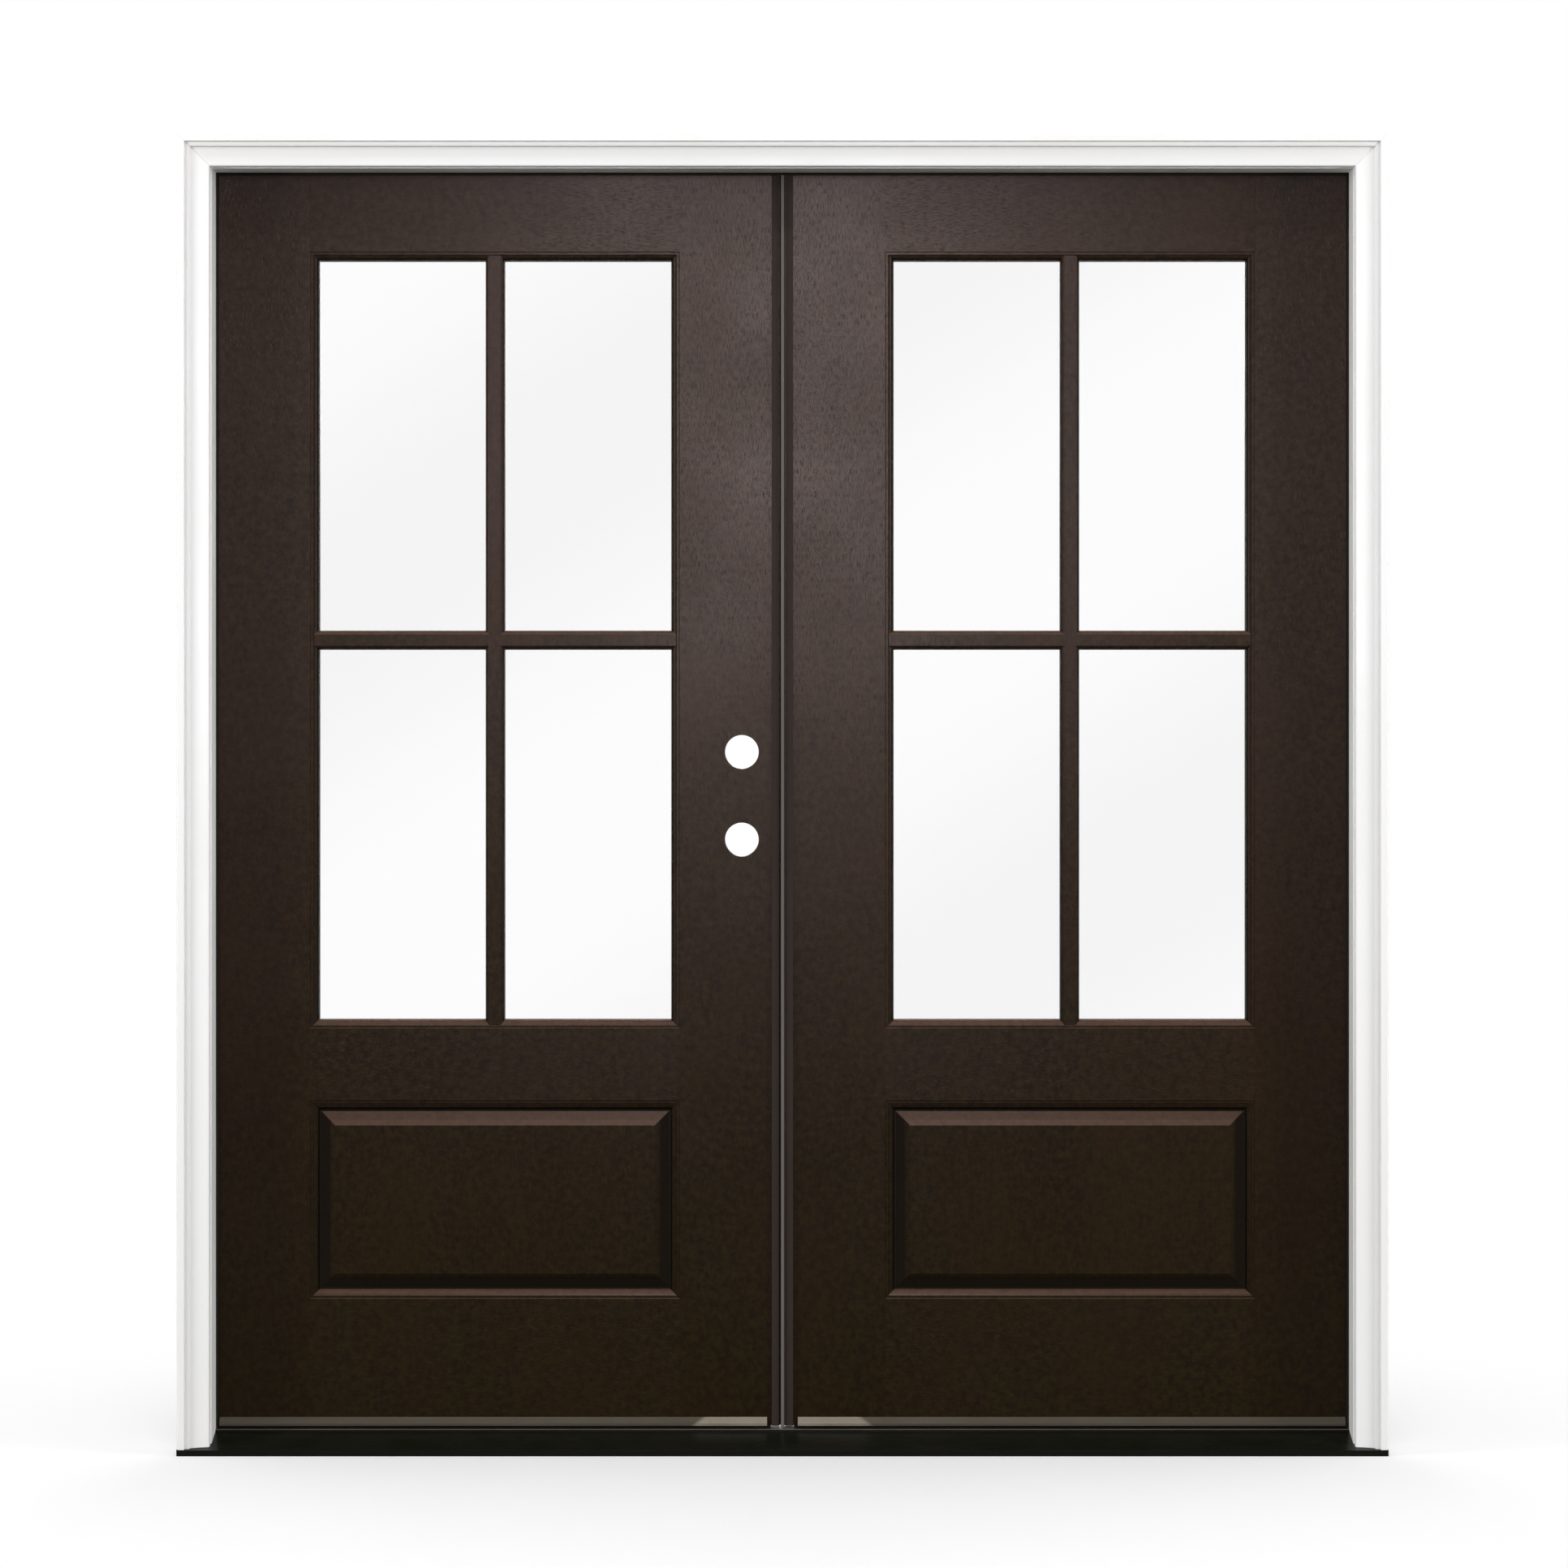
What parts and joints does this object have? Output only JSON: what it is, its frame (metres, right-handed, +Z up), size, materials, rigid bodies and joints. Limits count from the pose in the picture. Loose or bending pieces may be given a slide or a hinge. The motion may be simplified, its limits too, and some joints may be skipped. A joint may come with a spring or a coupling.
{
  "type": "double entry door with frame",
  "caption": "Prehung pair of dark stained fiberglass entry doors with divided glass over a raised panel, in a white frame with brickmould and a dark sill.",
  "frame": {"origin": "middle of the unit's width, on the sill's underside, in the plane of the jambs' outer edges", "axes": "+Z up, +Y from outside to inside, +X along the wall to the right seen from outside"},
  "size_m": [1.9102, 0.1604, 2.0852],
  "materials": {
    "white_paint": "primed and painted satin white trim",
    "jamb_paint": "primed jamb, off white, satin",
    "stained_skin": "moulded fibreglass with a dark espresso stain, low sheen",
    "foam": "rigid polyurethane foam",
    "stile_wood": "laminated stile with a dark edge finish",
    "rail_composite": "composite rail",
    "glass": "clear tempered panes",
    "spacer": "grey warm edge spacer",
    "stained_trim": "grille bars and beads stained to match the leaf",
    "seal_foam": "dark foam weatherstrip with a smooth skin",
    "drip_metal": "dark bronze anodised angle",
    "sweep_vinyl": "dark vinyl sweep",
    "sill_metal": "dark bronze coated sheet, glossy",
    "sill_cap": "brown composite threshold cap",
    "sill_base": "composite sill substrate",
    "hinge_metal": "oil rubbed bronze coated steel",
    "screw_metal": "plated steel screws",
    "astragal_metal": "grey bronze aluminium extrusion",
    "bolt_steel": "plated steel"
  },
  "bodies": {
    "frame": {"bolt_strikes": "bolt_steel", "brickmould_head": "white_paint", "brickmould_left": "white_paint", "brickmould_right": "white_paint", "corner_pads": "seal_foam", "hinge_pins_left": "hinge_metal", "hinge_pins_right": "hinge_metal", "hinge_plates_left_jamb": "hinge_metal", "hinge_plates_right_jamb": "hinge_metal", "jamb_head": "jamb_paint", "jamb_left": "jamb_paint", "jamb_right": "jamb_paint", "sill_cap": "sill_cap", "sill_deck": "sill_metal", "sill_substrate": "sill_base", "weatherstrip_head": "seal_foam", "weatherstrip_left": "seal_foam", "weatherstrip_right": "seal_foam"},
    "active_leaf": {"active_bottom_rail": "rail_composite", "active_door_sweep": "sweep_vinyl", "active_drip_edge": "drip_metal", "active_foam_core": "foam", "active_glass": "glass", "active_glass_spacer": "spacer", "active_glazing_beads": "stained_trim", "active_grille_inner": "stained_trim", "active_grille_outer": "stained_trim", "active_hinge_plates": "hinge_metal", "active_hinge_stile": "stile_wood", "active_inner_skin": "stained_skin", "active_lock_block": "stile_wood", "active_lock_stile": "stile_wood", "active_meeting_seal": "seal_foam", "active_outer_skin": "stained_skin", "active_top_rail": "rail_composite"},
    "inactive_leaf": {"astragal": "astragal_metal", "inactive_bottom_rail": "rail_composite", "inactive_door_sweep": "sweep_vinyl", "inactive_drip_edge": "drip_metal", "inactive_foam_core": "foam", "inactive_glass": "glass", "inactive_glass_spacer": "spacer", "inactive_glazing_beads": "stained_trim", "inactive_grille_inner": "stained_trim", "inactive_grille_outer": "stained_trim", "inactive_hinge_plates": "hinge_metal", "inactive_hinge_stile": "stile_wood", "inactive_inner_skin": "stained_skin", "inactive_lock_stile": "stile_wood", "inactive_meeting_seal": "seal_foam", "inactive_outer_skin": "stained_skin", "inactive_top_rail": "rail_composite"},
    "top_bolt": {"bolt_top": "bolt_steel"},
    "bottom_bolt": {"bolt_bottom": "bolt_steel"}
  },
  "joints": [
    {"name": "active_leaf_swing", "type": "hinge", "parent": "frame", "child": "active_leaf", "pos_m": [-0.914, 0.1219, 0], "axis": [0, 0, 1], "range_deg": [0, 170]},
    {"name": "inactive_leaf_swing", "type": "hinge", "parent": "frame", "child": "inactive_leaf", "pos_m": [0.914, 0.1219, 0], "axis": [0, 0, -1], "range_deg": [0, 170]},
    {"name": "top_bolt_slide", "type": "slide", "parent": "inactive_leaf", "child": "top_bolt", "axis": [0, 0, 1], "range_m": [0, 0.019]},
    {"name": "bottom_bolt_slide", "type": "slide", "parent": "inactive_leaf", "child": "bottom_bolt", "axis": [0, 0, -1], "range_m": [0, 0.019]}
  ]
}
